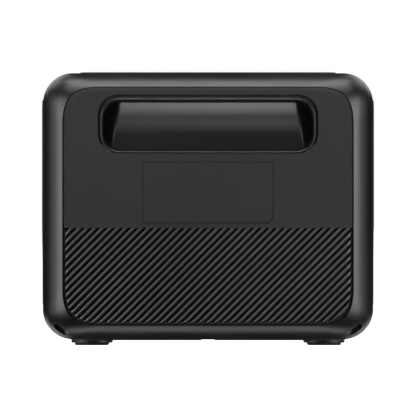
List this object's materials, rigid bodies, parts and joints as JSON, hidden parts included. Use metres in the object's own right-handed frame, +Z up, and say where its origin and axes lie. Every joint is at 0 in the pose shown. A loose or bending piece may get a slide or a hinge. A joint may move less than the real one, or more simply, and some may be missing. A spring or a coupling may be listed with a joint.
{
  "type": "portable power station",
  "caption": "Box-shaped portable power station with rolled edges, recessed carrying grips, slanted ribs, side air slots, sockets, covers and push buttons.",
  "frame": {"origin": "on the floor, under the middle of the four feet", "axes": "+Z up, +Y out of the control side, -Y out of the ribbed rear side, X across the width"},
  "size_m": [0.314, 0.21, 0.2582],
  "materials": {
    "gloss_black": "satin gloss black moulding",
    "panel_black": "fine matte texture, charcoal",
    "grip_black": "satin black",
    "dark_plastic": "matte black",
    "rubber": "soft matte rubber",
    "smoked_lens": "polished smoked lens",
    "button_grey": "satin dark grey",
    "steel": "nickel plated",
    "aluminium": "extruded, bare",
    "cell_blue": "blue film on an aluminium can",
    "board_green": "green solder mask",
    "copper": "enamelled copper winding on a core"
  },
  "bodies": {
    "housing": {"ac_inlet": "dark_plastic", "ac_outlet_1": "dark_plastic", "ac_outlet_2": "dark_plastic", "base_plate": "dark_plastic", "battery_tray": "dark_plastic", "bms_board": "board_green", "car_socket": "steel", "cell_1": "cell_blue", "cell_2": "cell_blue", "cell_3": "cell_blue", "cell_4": "cell_blue", "cell_5": "cell_blue", "cell_6": "cell_blue", "cell_7": "cell_blue", "cell_8": "cell_blue", "corner_screw_1": "steel", "corner_screw_2": "steel", "corner_screw_3": "steel", "corner_screw_4": "steel", "dc_inlet": "dark_plastic", "display_lens": "smoked_lens", "display_module": "dark_plastic", "exhaust_fan_frame": "dark_plastic", "foot_base_1": "dark_plastic", "foot_base_2": "dark_plastic", "foot_base_3": "dark_plastic", "foot_base_4": "dark_plastic", "foot_pad_1": "rubber", "foot_pad_2": "rubber", "foot_pad_3": "rubber", "foot_pad_4": "rubber", "front_frame": "gloss_black", "front_grip_cup": "grip_black", "front_panel": "panel_black", "heat_sink": "aluminium", "intake_fan_frame": "dark_plastic", "inverter_board": "board_green", "key_board": "board_green", "key_mat": "rubber", "left_vent_panel": "panel_black", "rating_label": "panel_black", "rear_frame": "gloss_black", "rear_grip_cup": "grip_black", "rear_panel": "panel_black", "right_vent_panel": "panel_black", "top_cover": "gloss_black", "transformer": "copper", "usb_a_port_1": "steel", "usb_a_port_2": "steel", "usb_c_port_1": "steel", "usb_c_port_2": "steel"},
    "dc_button": {"dc_button": "button_grey"},
    "power_button": {"power_button": "button_grey"},
    "ac_button": {"ac_button": "button_grey"},
    "reset_button": {"reset_button": "button_grey"},
    "car_socket_cap": {"car_socket_cap": "rubber"},
    "input_cover": {"input_cover": "rubber"},
    "intake_fan_rotor": {"intake_fan_rotor": "dark_plastic"},
    "exhaust_fan_rotor": {"exhaust_fan_rotor": "dark_plastic"}
  },
  "joints": [
    {"name": "dc_button_press", "type": "slide", "parent": "housing", "child": "dc_button", "axis": [0, -1, 0], "range_m": [0, 0.0012], "stiffness_N_per_m": 400},
    {"name": "power_button_press", "type": "slide", "parent": "housing", "child": "power_button", "axis": [0, -1, 0], "range_m": [0, 0.0012], "stiffness_N_per_m": 400},
    {"name": "ac_button_press", "type": "slide", "parent": "housing", "child": "ac_button", "axis": [0, -1, 0], "range_m": [0, 0.0012], "stiffness_N_per_m": 400},
    {"name": "reset_button_press", "type": "slide", "parent": "housing", "child": "reset_button", "axis": [0, -1, 0], "range_m": [0, 0.0015], "stiffness_N_per_m": 400},
    {"name": "car_socket_cap_hinge", "type": "hinge", "parent": "housing", "child": "car_socket_cap", "pos_m": [0.104, 0.104, 0.1035], "axis": [1, 0, 0], "range_deg": [0, 115]},
    {"name": "input_cover_hinge", "type": "hinge", "parent": "housing", "child": "input_cover", "pos_m": [0, 0.104, 0.061], "axis": [1, 0, 0], "range_deg": [0, 110]},
    {"name": "intake_fan_spin", "type": "hinge", "parent": "housing", "child": "intake_fan_rotor", "pos_m": [-0.1355, 0, 0.074], "axis": [1, 0, 0], "continuous": true},
    {"name": "exhaust_fan_spin", "type": "hinge", "parent": "housing", "child": "exhaust_fan_rotor", "pos_m": [0.1355, 0, 0.074], "axis": [1, 0, 0], "continuous": true}
  ]
}
